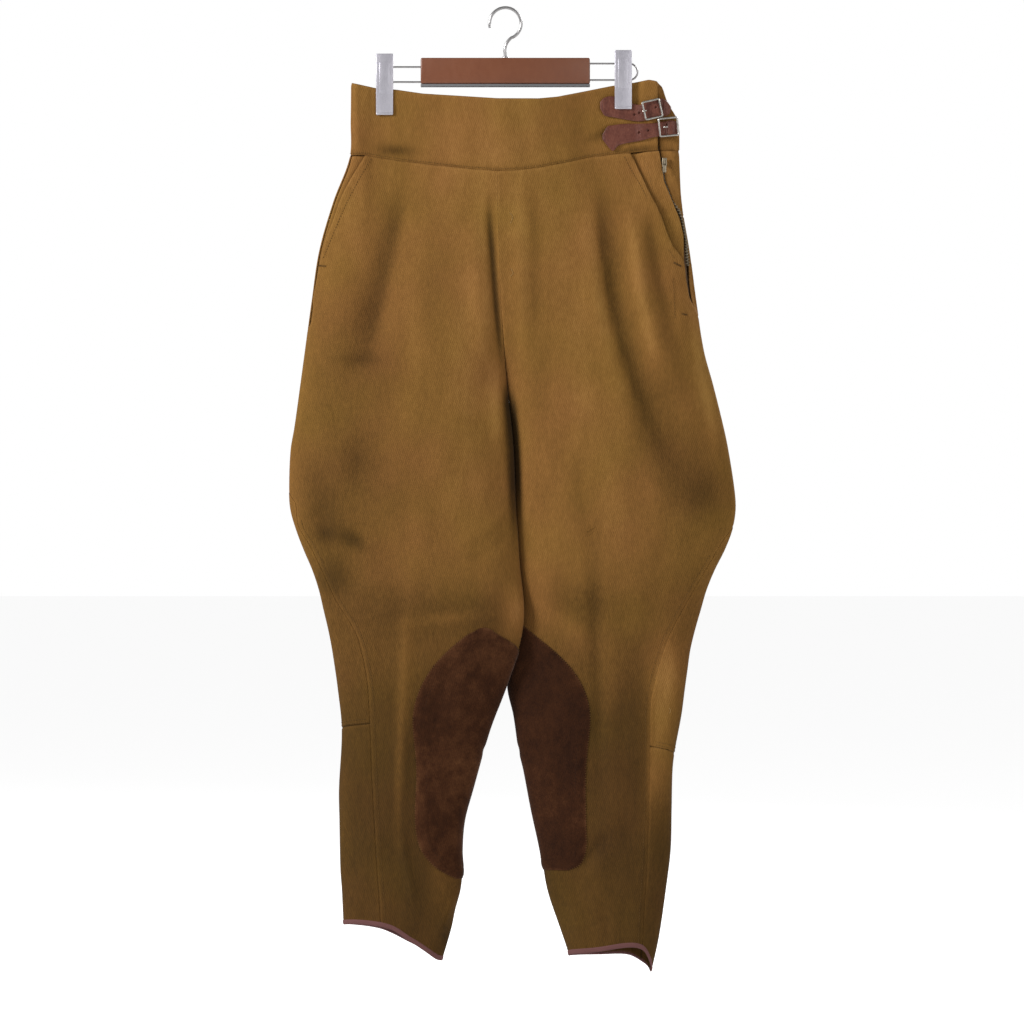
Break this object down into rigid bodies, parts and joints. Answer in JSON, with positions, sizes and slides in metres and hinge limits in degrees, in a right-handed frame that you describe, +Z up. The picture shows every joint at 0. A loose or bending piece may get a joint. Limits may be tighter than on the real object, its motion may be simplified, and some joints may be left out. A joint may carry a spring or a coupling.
{
  "type": "jodhpurs on a trouser hanger",
  "caption": "Riding jodhpurs with flared thighs, narrow calves, suede knee patches, a side zip and buckled waist straps, clipped by the waistband to a trouser hanger.",
  "frame": {"origin": "inner crest of the hanger's hook, where a rail bears", "axes": "+Z up, the garment's front faces -Y, +X towards the wearer's left leg"},
  "size_m": [0.4701, 0.073, 1.0161],
  "materials": {
    "twill": "thick brown whipcord twill, matt, worn darker in patches",
    "suede": "dark red-brown suede, napped",
    "hem_tape": "mauve-brown woven tape",
    "zip_tape": "dark brown woven tape",
    "zip_metal": "dull grey brass",
    "leather": "red-brown smooth leather with small cracks",
    "buckle_metal": "pale polished steel",
    "bar_wood": "red-brown varnished wood",
    "bar_strip": "grey, matt",
    "clip_metal": "pale grey satin metal",
    "wire_metal": "bright steel wire"
  },
  "bodies": {
    "garment_on_hanger": {"hanger_bar": "bar_wood", "hanger_strip": "bar_strip", "hook": "wire_metal", "left_back_panel": "twill", "left_calf_panel": "twill", "left_clip_back": "clip_metal", "left_clip_core": "clip_metal", "left_clip_front": "clip_metal", "left_front_panel": "twill", "left_hem_tape": "hem_tape", "left_knee_patch": "suede", "left_outer_panel": "twill", "left_pocket_facing": "twill", "left_wire": "wire_metal", "lower_buckle_frame": "buckle_metal", "lower_chape": "leather", "lower_prong": "buckle_metal", "lower_strap": "leather", "right_back_panel": "twill", "right_calf_panel": "twill", "right_clip_back": "clip_metal", "right_clip_core": "clip_metal", "right_clip_front": "clip_metal", "right_front_panel": "twill", "right_hem_tape": "hem_tape", "right_knee_patch": "suede", "right_outer_panel": "twill", "right_pocket_facing": "twill", "right_wire": "wire_metal", "upper_buckle_frame": "buckle_metal", "upper_chape": "leather", "upper_prong": "buckle_metal", "upper_strap": "leather", "waistband": "twill", "zip_chain": "zip_metal", "zip_slider": "zip_metal", "zip_tape": "zip_tape"},
    "pull_tab": {"zip_pull_tab": "zip_metal"}
  },
  "joints": [
    {"name": "pull_tab_hinge", "type": "hinge", "parent": "garment_on_hanger", "child": "pull_tab", "pos_m": [0.16725, -0.00915, -0.15878], "axis": [-1, 0, 0], "range_deg": [0, 140]}
  ]
}
